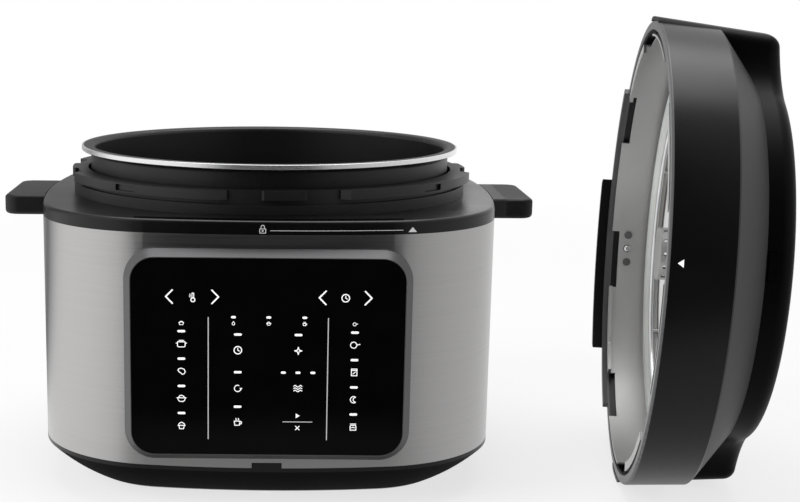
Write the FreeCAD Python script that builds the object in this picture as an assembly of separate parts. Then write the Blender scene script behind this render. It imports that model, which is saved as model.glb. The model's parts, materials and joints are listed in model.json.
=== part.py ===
import FreeCAD, Part
import math
import os

from FreeCAD import Vector

# An electric pressure cooker with its lid taken off and stood on edge beside it. Millimetres, +Z up.
# The origin is the middle of the base on the surface it stands on, +Y points to the back.

UP = Vector(0, 0, 1)
BACK = Vector(0, 1, 0)

# Clearances
fit = 0.3
tight = 0.15
# How far a cut runs past the face that it opens
beyond = 1.0

# Body: a square with bowed sides and round corners
body_half = 145.0
side_bow_r = 480.0
corner_r = 80.0
steel_t = 1.2
shell_bottom_z = 27.5
shell_height = 139.5
plate_t = 8.0
plate_edge_r = 2.5
spigot_t = 2.5
spigot_h = 9.0
front_pad_half = 78.0
front_pad_depth = 19.0
front_pad_h = 1.0

# Base housing
tray_z = 3.0
tray_wall = 2.5
tray_taper = 31.0
tray_bulge = 1.5
tray_rim_h = 2.5
tray_ring = 68.0
tab_width = 17.5
tab_height = 3.2
boss_r = 5.0
base_foot_r = 11.0
base_foot_sink = 1.2
base_foot_inset = 71.0

# Handles
handle_reach = 25.0
handle_half = 39.0
handle_t = 12.5
handle_drop = 1.0
handle_corner_r = 9.0
handle_edge_r = 2.5
tongue_half = 26.0
tongue_t = 4.0
tongue_depth = 9.0

# Collar with the bayonet lugs
collar_inset = 26.0
collar_spigot_t = 5.0
collar_foot_t = 9.0
collar_foot_h = 6.5
collar_neck_t = 6.5
collar_neck_h = 3.0
lug_reach = 6.5
lug_t = 5.5
lug_count = 4
lug_gap_angle = 30.4
lug_chamfer = 4.5
lug_pocket_angle = 7.0
lug_pocket_depth = 1.7
gap_turn_angle = 4.1
key_reach = 3.5
key_angle = 12.0
key_chamfer = 1.5

# Pots and heater
can_t = 1.2
can_floor_z = 32.0
heater_inset = 5.0
heater_flange = 8.0
heater_flange_t = 3.0
heater_t = 10.8
heater_edge = 1.0
element_ring_r = 62.0
element_r = 3.5
element_arc = 310.0
element_leg = 9.0
element_leg_r = 3.2
sensor_r = 18.0
sensor_gap = 1.0
sensor_cap_t = 7.0
sensor_stem_r = 6.0
sensor_stem_length = 15.0
bracket_t = 1.5
bracket_depth = 9.0
spring_wire_r = 0.8
sensor_spring_turns = 4
pot_wall = 2.5
pot_gap = 2.0
pot_corner_r = 22.0
pot_proud = 14.5
pot_lip = 6.0
pot_lip_t = 3.0
pot_lip_r = 0.5

# Control panel
bezel_width = 167.0
bezel_r = 18.0
bezel_above = 5.8
bezel_below = 8.1
bezel_proud = 6.0
bezel_bevel = 4.0
glass_t = 2.2
glass_sunk = 0.4
glass_edge = 4.6
frame_t = 4.0
frame_depth = 18.0
board_t = 1.6
display_width = 64.0
display_height = 24.0
display_depth = 12.0
display_up = 28.0

# Power supply in the base
supply_width = 90.0
supply_depth = 46.0
supply_y = 52.0
supply_stand = 6.5
supply_post_r = 3.0
relay_size = (20.0, 16.0, 13.0)
transformer_size = (26.0, 22.0, 12.0)
inlet_z = 62.0
inlet_width = 34.0
inlet_height = 27.0
inlet_flange_t = 2.5
inlet_wall = 3.5
inlet_depth = 22.0
inlet_pin = (2.0, 4.0)
inlet_pin_length = 14.0
inlet_pin_pitch = 7.0
inlet_earth_up = 3.0

# Lid, in its own frame: rim plane at z = 0, top up, front towards -Y
lid_room = 11.0
lid_wall = 5.5
rim_r = 1.5
band_h = 37.0
band_taper = 2.7
band_edge = 1.0
shoulder_t = 2.5
shoulder_depth = 17.8
cover_t = 2.2
cover_inset = 31.0
cover_h = 57.0
crown_h = 76.0
crown_end_h = 71.0
crown_end_inset = 6.0
crown_corner_r = 8.0
crown_edge_r = 8.0
crown_wall = 3.0
arm_half = 20.0
arm_fillet_r = 40.0
arm_turn_angle = 8.0
ear_t = 2.3
vent_r = 20.0
valve_y = 45.0
step_h = 3.0
step_half_angle = 50.0

# Lid inside
twist_angle = 30.0
tab_width_angle = 28.0
tab_t = 2.0
notch_angle = 17.0
notch_h = 5.0
ring_t = 1.2
sheet_t = 1.2
plate_dish = 3.3
plate_dish_inset = 12.0
plate_dish_slope = 6.0
plate_rim_drop = 6.7
seal_inset = 0.5
seal_over = 0.1
seal_h = 8.0
seal_width = 12.5
seal_lip_t = 2.2
rack_wire_r = 1.5
rack_post_r = 1.2
rack_post_count = 6
lid_screw_count = 6
screw_head_r = 3.0
screw_head_h = 1.8
screw_r = 1.5
screw_boss_r = 3.5

# Valves in the lid
pipe_r = 5.0
pipe_bore_r = 2.0
pipe_drop = 5.0
pipe_top = 66.0
pipe_taper = 2.0
pipe_collar = 3.0
nut_size = 8.0
nut_t = 4.0
valve_lift_gap = 3.2
valve_flange_r = 14.0
valve_flange_t = 2.4
valve_body_r = 10.0
valve_knob_r = 15.0
valve_knob_t = 5.0
valve_top = 73.5
valve_edge = 1.0
shield_r = 17.0
shield_h = 14.0
shield_t = 1.0
shield_slots = 12
shield_slot_width = 2.2
float_x = 38.0
float_y = 18.0
float_pin_r = 2.5
float_head_r = 4.2
float_head_h = 2.0
float_guide_r = 5.0
float_guide_h = 11.0
float_drop = 8.0
float_flange_r = 5.5
float_flange_t = 2.0
float_seal_r = 6.5
float_seal_t = 2.0

# Steam release button with its rod
button_width = 16.0
button_height = 4.0
button_proud = 0.8
button_t = 5.0
button_above = 1.2
button_travel = 3.0
rod_r = 1.4
rod_tip_r = 0.3
rod_tip_length = 2.6
rod_end_gap = 1.0
guide_y = -80.0
guide_width = 12.0
guide_t = 5.0
guide_over = 4.0
button_spring_r = 3.0
button_spring_wire_r = 0.4
button_spring_turns = 6

# Lid interlock at the back
latch_turn_angle = 5.0
latch_half_angle = 24.5
latch_t = 5.0
latch_drop = 9.0
latch_rise = 18.0
latch_chamfer = 4.0
latch_wall = 2.0
latch_seam_half = 9.0
latch_seam = 0.7
pin_z = 11.0
pin_r = 2.4
pin_tip = 4.0
pin_travel = 2.0
pin_screw_offset = 9.4
pin_screw_head_r = 2.6
pin_screw_r = 1.3
pocket_gap = 1.0

# Where the lid stands
lid_gap = 57.5
lid_forward = 72.0
lid_yaw_angle = 7.0
lid_lean_angle = 1.6

# Heights and radii worked out from the sizes above
shell_top_z = shell_bottom_z + shell_height
plate_top_z = shell_top_z + plate_t
collar_bore_r = body_half - collar_inset
collar_spigot_r = collar_bore_r + collar_spigot_t
collar_foot_r = collar_bore_r + collar_foot_t
collar_neck_r = collar_bore_r + collar_neck_t
lug_r = collar_neck_r + lug_reach
key_r = collar_neck_r + key_reach
neck_z = plate_top_z + collar_foot_h
lug_z = neck_z + collar_neck_h
lug_top_z = lug_z + lug_t
lug_pitch = 360.0 / lug_count
first_gap = gap_turn_angle - 90.0
can_inner_r = collar_bore_r
can_outer_r = can_inner_r + can_t
heater_z = can_floor_z + can_t
heater_top_z = heater_z + heater_t
pot_r = can_inner_r - pot_gap
heater_r = pot_r - pot_corner_r - heater_inset
heater_flange_r = heater_r + heater_flange
boss_pitch_r = (heater_flange_r + can_inner_r) / 2
base_foot_offset = body_half - base_foot_inset
pot_rim_z = lug_top_z + pot_proud
floor_z = tray_z + tray_wall
bezel_height = shell_height - bezel_above - bezel_below
bezel_z = shell_bottom_z + bezel_above + bezel_height / 2
bezel_y = -(body_half + bezel_proud)
frame_y = bezel_y + frame_depth
lid_r = lug_r + lid_room
cover_r = lid_r - cover_inset
latch_r = lid_r + latch_t
tab_inner_r = key_r + fit
band_top_r = lid_r - band_taper
crown_end_r = lid_r - crown_end_inset
seat_z = lug_z - fit - tab_t
seal_z = pot_rim_z - seat_z + seal_over
seal_top = seal_z + seal_h
seal_inner_r = pot_r + pot_lip - seal_inset - seal_width
plate_level = seal_top + fit
plate_dish_r = seal_inner_r - plate_dish_inset
tab_turn = first_gap - twist_angle
screw_pitch_r = lid_r - shoulder_depth + screw_boss_r
flange_z = plate_level + sheet_t
ring_top = flange_z + ring_t
ring_outer_r = lid_r - lid_wall - band_taper * ring_top / band_h - fit
ring_inner_r = ring_outer_r - ring_t
rod_z = cover_h + button_above + button_height / 2
valve_flange_z = cover_h + valve_lift_gap
valve_front_y = valve_y - valve_flange_r


def drawn(points):
    """A face in the XZ plane. A step is a point, or a pair of points that an arc passes through."""
    edges = []
    here = Vector(points[0][0], 0, points[0][1])
    for step in points[1:] + points[:1]:
        if isinstance(step[0], tuple):
            via, end = (Vector(x, 0, z) for x, z in step)
            edges.append(Part.Arc(here, via, end).toShape())
        else:
            end = Vector(step[0], 0, step[1])
            edges.append(Part.LineSegment(here, end).toShape())
        here = end
    return Part.Face(Part.Wire(edges))


def turned(points, angle=360.0):
    return drawn(points).revolve(Vector(), UP, angle)


def bowed(start, end, sagitta):
    """An arc step from start to end that bulges to the left of that direction."""
    dx, dz = end[0] - start[0], end[1] - start[1]
    length = math.hypot(dx, dz)
    via = ((start[0] + end[0]) / 2 - dz / length * sagitta, (start[1] + end[1]) / 2 + dx / length * sagitta)
    return (via, end)


def rounded(corner, radius, start, end):
    """An arc step about the point corner, from the angle start to the angle end in degrees."""
    middle = math.radians((start + end) / 2)
    last = math.radians(end)
    via = (corner[0] + radius * math.cos(middle), corner[1] + radius * math.sin(middle))
    return (via, (corner[0] + radius * math.cos(last), corner[1] + radius * math.sin(last)))


def disc(radius, z0, z1, x=0.0, y=0.0):
    return Part.makeCylinder(radius, z1 - z0, Vector(x, y, z0))


def sector(outer_r, inner_r, z0, z1, middle, width):
    wedge = Part.makeCylinder(outer_r, z1 - z0, Vector(0, 0, z0), UP, width)
    wedge = wedge.cut(disc(inner_r, z0 - beyond, z1 + beyond))
    wedge.rotate(Vector(), UP, middle - width / 2)
    return wedge


def box(x0, x1, y0, y1, z0, z1):
    return Part.makeBox(x1 - x0, y1 - y0, z1 - z0, Vector(x0, y0, z0))


def rod(radius, start, end):
    return Part.makeCylinder(radius, (end - start).Length, start, end - start)


def ring_of(count, radius, start=0.0):
    """Points evenly spaced round a circle."""
    for i in range(count):
        angle = math.radians(start + 360.0 * i / count)
        yield radius * math.cos(angle), radius * math.sin(angle)


def joined(first, *others):
    return first.fuse(list(others)).removeSplitter()


def upright_edges(shape, radius):
    """The edges parallel to Z that lie at this distance from the Z axis."""
    found = []
    for edge in shape.Edges:
        ends = [v.Point for v in edge.Vertexes]
        if len(ends) == 2 and (ends[0] - ends[1]).cross(UP).Length < 1e-6:
            if abs(math.hypot(ends[0].x, ends[0].y) - radius) < 1e-3:
                found.append(edge)
    return found


def slab(width, height, radius, z, y0, y1):
    """A plate with rounded corners in the XZ plane, from y0 back to y1."""
    return Part.Face(rounded_rectangle(width, height, radius, z, y0)).extrude(Vector(0, y1 - y0, 0))


def panel_slab(inset, y0, y1):
    """A plate with the panel's outline, drawn in by inset all round."""
    width, height = bezel_width - 2 * inset, bezel_height - 2 * inset
    return slab(width, height, bezel_r - inset, bezel_z, y0, y1)


def rounded_rectangle(width, height, radius, z, y):
    edges = []
    across, up = width / 2 - radius, height / 2 - radius
    for turn, (sx, sz) in enumerate(((1, 1), (-1, 1), (-1, -1), (1, -1))):
        centre = Vector(sx * across, y, z + sz * up)
        marks = [math.radians(90 * turn + 45 * i) for i in range(3)]
        a, b, c = (centre + Vector(radius * math.cos(m), 0, radius * math.sin(m)) for m in marks)
        if edges:
            edges.append(Part.LineSegment(edges[-1].Vertexes[-1].Point, a).toShape())
        edges.append(Part.Arc(a, b, c).toShape())
    edges.append(Part.LineSegment(edges[-1].Vertexes[-1].Point, edges[0].Vertexes[0].Point).toShape())
    return Part.Wire(edges)


def coil(radius, wire_r, turns, length):
    """A wire wound along Z, one unbroken tube made of two tangent arcs for each quarter turn."""
    rise = (length - 2 * wire_r) / turns / (2 * math.pi)

    def point(angle):
        return Vector(radius * math.cos(angle), radius * math.sin(angle), wire_r + rise * angle)

    def heading(angle):
        return Vector(-radius * math.sin(angle), radius * math.cos(angle), rise).normalize()

    edges = []
    for quarter in range(4 * turns):
        a, b = quarter * math.pi / 2, (quarter + 1) * math.pi / 2
        chord, ahead = point(b) - point(a), heading(a) + heading(b)
        spread = 2 * (1 - heading(a).dot(heading(b)))
        along = chord.dot(ahead)
        reach = (math.sqrt(along**2 + spread * chord.dot(chord)) - along) / spread
        first, last = point(a) + heading(a) * reach, point(b) - heading(b) * reach
        meet = (first + last) * 0.5
        for start, corner, end in ((point(a), first, meet), (meet, last, point(b))):
            half = (start + end) * 0.5
            lean = (end - start).Length / 2 / (corner - start).Length
            edges.append(Part.Arc(start, half + (corner - half) * (lean / (1 + lean)), end).toShape())
    section = Part.Wire(Part.makeCircle(wire_r, point(0), heading(0)))
    return Part.Wire(edges).makePipeShell([section], True, False)


def body_arcs():
    """The eight arcs of the body's outline, as centre, radius, first angle and last angle."""
    past = side_bow_r - body_half
    between = side_bow_r - corner_r
    corner = (math.sqrt(2 * between**2 - past**2) - past) / 2
    half_side = math.degrees(math.atan2(corner, past + corner))
    for quarter in range(4):
        facing = 90.0 * quarter
        turn = math.radians(facing)
        corner_turn = math.radians(facing + 45)
        side = Vector(-past * math.cos(turn), -past * math.sin(turn), 0)
        yield side, side_bow_r, facing - half_side, facing + half_side
        middle = Vector(math.cos(corner_turn), math.sin(corner_turn), 0) * (corner * math.sqrt(2))
        yield middle, corner_r, facing + half_side, facing + 90 - half_side


def body_prism(inset, z0, z1):
    edges = []
    for centre, radius, first, last in body_arcs():
        marks = [math.radians(a) for a in (first, (first + last) / 2, last)]
        level = centre + UP * z0
        stops = [level + Vector(math.cos(m), math.sin(m), 0) * (radius - inset) for m in marks]
        edges.append(Part.Arc(*stops).toShape())
    return Part.Face(Part.Wire(edges)).extrude(UP * (z1 - z0))


def around_body(points):
    """A section carried round the body's outline. Its first number is the distance in from that outline."""
    pieces = []
    for centre, radius, first, last in body_arcs():

        def moved(step):
            if isinstance(step[0], tuple):
                return tuple(moved(p) for p in step)
            return (radius - step[0], step[1])

        piece = turned([moved(p) for p in points], last - first)
        piece.rotate(Vector(), UP, first)
        piece.translate(centre)
        pieces.append(piece)
    return joined(*pieces)


def boss_places():
    return list(ring_of(4, boss_pitch_r))


def foot_places():
    return [(sx * base_foot_offset, sy * base_foot_offset) for sx in (-1, 1) for sy in (-1, 1)]


def supply_places():
    across = supply_width / 2 - 2 * supply_post_r
    near, far = supply_y + 2 * supply_post_r, supply_y + supply_depth - 2 * supply_post_r
    return [(sx * across, y) for sx in (-1, 1) for y in (near, far)]


def base_housing():
    rim_z = shell_bottom_z
    spigot_u = steel_t + fit
    spigot_in = spigot_u + spigot_t
    outer_start, outer_end = (0.0, rim_z - tray_rim_h), (tray_taper, tray_z)
    inner_start, inner_end = (tray_taper + tray_wall / 2, floor_z), (spigot_in, rim_z)
    section = [
        (0.0, rim_z),
        outer_start,
        bowed(outer_start, outer_end, -tray_bulge),
        (tray_ring, tray_z),
        (tray_ring, floor_z),
        inner_start,
        bowed(inner_start, inner_end, tray_bulge),
        (spigot_in, rim_z + spigot_h),
        (spigot_u, rim_z + spigot_h),
        (spigot_u, rim_z),
    ]
    housing = around_body(section)
    floor = body_prism(tray_ring - tray_wall, tray_z, floor_z)
    bosses = [disc(boss_r, tray_z, can_floor_z, x, y) for x, y in boss_places()]
    posts = [disc(supply_post_r, tray_z, floor_z + supply_stand, x, y) for x, y in supply_places()]
    half, depth = tab_width / 2, steel_t + 2 * fit
    tab = box(-half, half, -body_half - beyond, depth - body_half, rim_z, rim_z + tab_height)
    tab = tab.common(body_prism(0, 0, shell_top_z))
    housing = joined(housing, floor, tab, *bosses, *posts)
    for x, y in foot_places():
        housing = housing.cut(disc(base_foot_r, 0, tray_z + base_foot_sink, x, y))
    for x, y in boss_places():
        housing = housing.cut(disc(screw_r + tight, 0, can_floor_z + beyond, x, y))
        housing = housing.cut(disc(screw_head_r + fit, 0, tray_z + screw_head_h + fit, x, y))
    return housing


def rubber_feet():
    feet = []
    for x, y in foot_places():
        foot = disc(base_foot_r, 0, tray_z + base_foot_sink, x, y)
        lower = [e for e in foot.Edges if e.BoundBox.ZMax < 1e-6]
        feet.append(foot.makeChamfer(tray_z / 3, lower))
    return Part.makeCompound(feet)


def base_screws():
    screws = []
    for x, y in boss_places():
        head = disc(screw_head_r, tray_z + fit, tray_z + fit + screw_head_h, x, y)
        screws.append(joined(head, disc(screw_r, tray_z + fit, can_floor_z + can_t, x, y)))
    return Part.makeCompound(screws)


def outer_shell():
    shell = body_prism(0, shell_bottom_z, shell_top_z).cut(body_prism(steel_t, 0, shell_top_z + beyond))
    window = panel_slab(glass_edge, bezel_y, 0)
    half = tab_width / 2 + tight
    notch = box(-half, half, -body_half - beyond, 0, 0, shell_bottom_z + tab_height + tight)
    inlet = box(-inlet_width / 2 + inlet_wall, inlet_width / 2 - inlet_wall, 0, 2 * body_half,
                inlet_z - inlet_height / 2 + inlet_wall, inlet_z + inlet_height / 2 - inlet_wall)
    return shell.cut([window, notch, inlet])


def top_plate():
    plate = body_prism(0, shell_top_z, plate_top_z)
    top_edges = [e for e in plate.Edges if e.BoundBox.ZMin > plate_top_z - 1e-6]
    plate = plate.makeFillet(plate_edge_r, top_edges)
    skirt = body_prism(steel_t + fit, shell_top_z - spigot_h, shell_top_z)
    skirt = skirt.cut(body_prism(steel_t + fit + spigot_t, 0, plate_top_z))
    front = box(-front_pad_half, front_pad_half, -body_half, front_pad_depth - body_half, 0, 2 * plate_top_z)
    pad = body_prism(plate_edge_r + tight, plate_top_z, plate_top_z + front_pad_h).common(front)
    pad = pad.cut(disc(collar_foot_r + fit, 0, 2 * plate_top_z))
    plate = joined(plate, skirt, pad).cut(disc(collar_spigot_r + tight, 0, 2 * plate_top_z))
    for side in (-1, 1):
        plate = plate.cut(handle_tongue(side, tight))
    middle = 90.0 - latch_turn_angle + twist_angle / 2
    width = 2 * latch_half_angle + twist_angle + 4 * pocket_gap
    pocket = sector(latch_r + pocket_gap, lid_r - pocket_gap, seat_z - latch_drop - pocket_gap,
                    plate_top_z + beyond, middle, width)
    return plate.cut(pocket)


def handle_tongue(side, gap):
    z = plate_top_z - handle_drop - handle_t / 2
    low = max(z - tongue_t / 2, shell_top_z + tight + gap) - gap
    x0, x1 = body_half - tongue_depth - gap, body_half + handle_reach / 2
    tongue = box(x0, x1, -tongue_half - gap, tongue_half + gap, low, low + tongue_t + 2 * gap)
    if side < 0:
        tongue = tongue.mirror(Vector(), Vector(1, 0, 0))
    return tongue


def handle(side):
    top = plate_top_z - handle_drop
    inner_x, outer_x = body_half - handle_reach, body_half + handle_reach
    bar = box(inner_x, outer_x, -handle_half, handle_half, top - handle_t, top)
    corners = [e for e in bar.Edges if e.BoundBox.ZLength > handle_t - 1e-6 and e.BoundBox.XMin > body_half]
    bar = bar.makeFillet(handle_corner_r, corners)
    rims = [e for e in bar.Edges if e.BoundBox.ZLength < 1e-6 and e.BoundBox.XMax > body_half]
    bar = bar.makeFillet(handle_edge_r, rims).cut(body_prism(0, 0, plate_top_z))
    if side < 0:
        bar = bar.mirror(Vector(), Vector(1, 0, 0))
    return joined(bar, handle_tongue(side, 0.0))


def locking_ring():
    collar = turned([
        (collar_bore_r, shell_top_z),
        (collar_spigot_r, shell_top_z),
        (collar_spigot_r, plate_top_z),
        (collar_foot_r, plate_top_z),
        (collar_foot_r, neck_z),
        (collar_neck_r, neck_z),
        (collar_neck_r, lug_top_z),
        (collar_bore_r, lug_top_z),
    ])
    inner = (collar_bore_r + collar_neck_r) / 2
    lugs, pockets = [], []
    for i in range(lug_count):
        middle = first_gap + (i + 0.5) * lug_pitch
        lug = sector(lug_r, inner, lug_z, lug_top_z, middle, lug_pitch - lug_gap_angle)
        lugs.append(lug.makeChamfer(lug_chamfer, upright_edges(lug, lug_r)))
        low, high = lug_z + lug_pocket_depth / 2, lug_top_z - lug_pocket_depth / 2
        pockets.append(sector(lug_r + beyond, lug_r - lug_pocket_depth, low, high, middle, lug_pocket_angle))
        key = sector(key_r, inner, lug_z, lug_top_z, first_gap + i * lug_pitch, key_angle)
        lugs.append(key.makeChamfer(key_chamfer, upright_edges(key, key_r)))
    return joined(collar, *lugs).cut(pockets)


def outer_pot():
    floor_r = heater_r + 2 * fit
    can = turned([
        (floor_r, can_floor_z),
        (can_outer_r, can_floor_z),
        (can_outer_r, shell_top_z - can_t),
        (collar_spigot_r, shell_top_z - can_t),
        (collar_spigot_r, shell_top_z),
        (can_inner_r, shell_top_z),
        (can_inner_r, can_floor_z + can_t),
        (floor_r, can_floor_z + can_t),
    ])
    for x, y in boss_places():
        can = can.cut(disc(screw_r + tight, 0, can_floor_z + 2 * can_t, x, y))
    return can


def heating_plate():
    hole_r = sensor_r + sensor_gap
    plate = turned([
        (hole_r, heater_z),
        (heater_flange_r, heater_z),
        (heater_flange_r, heater_z + heater_flange_t),
        (heater_r, heater_z + heater_flange_t),
        (heater_r, heater_top_z - heater_edge),
        (heater_r - heater_edge, heater_top_z),
        (hole_r, heater_top_z),
    ])
    groove = Part.makeTorus(element_ring_r, element_r + tight, Vector(0, 0, heater_z))
    return plate.cut(groove)


def heating_element():
    bar = Part.Face(Part.Wire(Part.makeCircle(element_r, Vector(element_ring_r, 0, heater_z), BACK)))
    bar = bar.revolve(Vector(), UP, element_arc)
    bar.rotate(Vector(), UP, -90 + (360 - element_arc) / 2)
    ends = []
    for side in (-1, 1):
        angle = math.radians(-90 + side * (360 - element_arc) / 2)
        foot = Vector(math.cos(angle), math.sin(angle), 0) * element_ring_r + UP * heater_z
        ends.append(rod(element_leg_r, foot, foot - UP * element_leg))
    return joined(bar, *ends)


def sensor_bracket():
    outer = sensor_r + sensor_gap + 3 * bracket_t
    low = heater_z - bracket_depth
    return turned([
        (sensor_stem_r + fit, low),
        (outer, low),
        (outer, heater_z),
        (outer - bracket_t, heater_z),
        (outer - bracket_t, low + bracket_t),
        (sensor_stem_r + fit, low + bracket_t),
    ])


def temperature_sensor():
    cap_z = heater_top_z - sensor_cap_t
    return turned([
        (0.0, cap_z - sensor_stem_length),
        (sensor_stem_r, cap_z - sensor_stem_length),
        (sensor_stem_r, cap_z),
        (sensor_r, cap_z),
        (sensor_r, heater_top_z - heater_edge),
        (sensor_r - heater_edge, heater_top_z),
        (0.0, heater_top_z),
    ])


def sensor_spring():
    low = heater_z - bracket_depth + bracket_t
    high = heater_top_z - sensor_cap_t
    spring = coil(sensor_stem_r + fit + 2 * spring_wire_r, spring_wire_r, sensor_spring_turns, high - low)
    spring.translate(UP * low)
    return spring


def inner_pot():
    inside_r = pot_r - pot_wall
    turn_z = heater_top_z + pot_corner_r
    turn_r = pot_r - pot_corner_r
    lip_r = pot_r + pot_lip
    lip_z = pot_rim_z - pot_lip_t
    bend = pot_lip / 2
    return turned([
        (0.0, heater_top_z),
        (turn_r, heater_top_z),
        rounded((turn_r, turn_z), pot_corner_r, -90, 0),
        (pot_r, lip_z - bend),
        rounded((pot_r + bend, lip_z - bend), bend, 180, 90),
        (lip_r - pot_lip_r, lip_z),
        rounded((lip_r - pot_lip_r, lip_z + pot_lip_r), pot_lip_r, -90, 0),
        (lip_r, pot_rim_z - pot_lip_r),
        rounded((lip_r - pot_lip_r, pot_rim_z - pot_lip_r), pot_lip_r, 0, 90),
        (inside_r + bend, pot_rim_z),
        rounded((inside_r + bend, pot_rim_z - bend), bend, 90, 180),
        (inside_r, turn_z),
        rounded((turn_r, turn_z), pot_corner_r - pot_wall, 0, -90),
        (0.0, heater_top_z + pot_wall),
    ])


def panel_bezel():
    glass_width, glass_height = bezel_width - 2 * bezel_bevel, bezel_height - 2 * bezel_bevel
    front = rounded_rectangle(glass_width, glass_height, bezel_r - bezel_bevel, bezel_z, bezel_y)
    foot = rounded_rectangle(bezel_width, bezel_height, bezel_r, bezel_z, bezel_y + bezel_proud)
    bevel = Part.makeLoft([front, foot], True, True)
    rim = panel_slab(0.0, bezel_y + bezel_proud, frame_y)
    rim = joined(bevel, rim).cut(body_prism(0, 0, plate_top_z))
    inset = glass_edge + tight
    plug = panel_slab(inset, bezel_y + bezel_proud / 2, frame_y)
    opening = panel_slab(inset + frame_t, bezel_y - beyond, frame_y + beyond)
    return joined(rim, plug).cut([panel_glass_form(tight, beyond), opening])


def panel_glass_form(gap, over):
    front = bezel_y + glass_sunk
    return panel_slab(glass_edge - gap, front - over, front + glass_t)


def panel_glass():
    return panel_glass_form(0.0, 0.0)


def control_board():
    return panel_slab(glass_edge + tight + frame_t / 2, frame_y, frame_y + board_t)


def display_module():
    z = bezel_z + display_up
    half_width, half_height = display_width / 2, display_height / 2
    return box(-half_width, half_width, frame_y - display_depth, frame_y, z - half_height, z + half_height)


def supply_box(size, x):
    width, depth, height = size
    y = supply_y + supply_depth / 2
    z = floor_z + supply_stand + board_t
    return box(x - width / 2, x + width / 2, y - depth / 2, y + depth / 2, z, z + height)


def power_board():
    z = floor_z + supply_stand
    return box(-supply_width / 2, supply_width / 2, supply_y, supply_y + supply_depth, z, z + board_t)


def power_inlet():
    flange = slab(inlet_width, inlet_height, inlet_wall, inlet_z, 0, body_half + inlet_flange_t)
    flange = flange.cut(body_prism(0, 0, plate_top_z))
    narrow = 2 * (inlet_wall + tight)
    barrel = slab(inlet_width - narrow, inlet_height - narrow, inlet_wall / 2, inlet_z,
                  body_half - inlet_depth, body_half + inlet_flange_t / 2)
    narrow += inlet_wall
    hollow = slab(inlet_width - narrow, inlet_height - narrow, inlet_wall / 4, inlet_z,
                  body_half - inlet_depth + inlet_wall, body_half + 2 * inlet_flange_t)
    return joined(flange, barrel).cut([hollow, *inlet_pin_forms()])


def inlet_pin_forms():
    width, height = inlet_pin
    back = body_half - inlet_depth + inlet_wall
    for i in (-1, 0, 1):
        z = inlet_z + (inlet_earth_up if i == 0 else 0.0)
        x0, z0 = i * inlet_pin_pitch - width / 2, z - height / 2
        yield box(x0, x0 + width, back - inlet_wall, back + inlet_pin_length, z0, z0 + height)


def lid_screw_places():
    return list(ring_of(lid_screw_count, screw_pitch_r))


def lid_form():
    """The outside of the lid below its crown."""
    return turned([
        (0.0, 0.0),
        (lid_r, 0.0),
        (lid_r, rim_r),
        (band_top_r, band_h - band_edge),
        (band_top_r - band_edge, band_h),
        (cover_r, cover_h),
        (0.0, cover_h),
    ])


def lid_skirt():
    inner_r = lid_r - lid_wall
    shoulder_r = lid_r - shoulder_depth
    skirt = turned([
        (inner_r, 0.0),
        (lid_r - rim_r, 0.0),
        rounded((lid_r - rim_r, rim_r), rim_r, -90, 0),
        (band_top_r, band_h - band_edge),
        (band_top_r - band_edge, band_h),
        (shoulder_r, band_h),
        (shoulder_r, band_h - shoulder_t),
        (inner_r - band_taper, band_h - shoulder_t),
    ])
    step = sector(lid_r - rim_r, inner_r, -step_h, rim_r, 90.0, 2 * step_half_angle)
    bosses = [disc(screw_boss_r, ring_top, band_h, x, y) for x, y in lid_screw_places()]
    skirt = joined(skirt, step, *bosses)
    for x, y in lid_screw_places():
        skirt = skirt.cut(disc(screw_r, 0, band_h - shoulder_t, x, y))
    return skirt.cut(back_holes())


def back_holes():
    """The holes for the interlock pin and its screws, through every wall at the back of the lid."""
    holes = [rod(pin_r + fit, Vector(0, 0, pin_z), Vector(0, latch_r - latch_wall, pin_z))]
    for side in (-1, 1):
        start = Vector(side * pin_screw_offset, 0, pin_z)
        holes.append(rod(pin_screw_r + tight, start, start + BACK * (latch_r - latch_wall)))
    return holes


def lid_top_cover():
    lean = cover_t / math.sin(math.atan2(cover_h - band_h, band_top_r - cover_r))
    seat_r = band_top_r - band_edge
    cover = turned([
        (0.0, cover_h - cover_t),
        (cover_r - cover_t / 2, cover_h - cover_t),
        (seat_r - lean, band_h),
        (seat_r, band_h),
        (cover_r, cover_h),
        (0.0, cover_h),
    ])
    guide_top = rod_z + guide_over
    guide = box(-guide_width / 2, guide_width / 2, guide_y, guide_y + guide_t, cover_h - cover_t, guide_top)
    cover = joined(cover, guide)
    bore = rod(rod_r + fit, Vector(0, guide_y - beyond, rod_z), Vector(0, guide_y + guide_t + beyond, rod_z))
    return cover.cut([bore, disc(pipe_r + fit, 0, crown_h, 0, valve_y)])


def crown_section(drop):
    """Half of the crown's outline from the front, moved inwards by drop."""
    top = crown_h - drop
    end_r, end_h = crown_end_r - drop, crown_end_h - drop
    arc_r = (end_r**2 + (top - end_h) ** 2) / (2 * (top - end_h))
    half_way = end_r / 2
    via = (half_way, top - arc_r + math.sqrt(arc_r**2 - half_way**2))
    return via, (end_r, end_h), (0.0, top)


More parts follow.
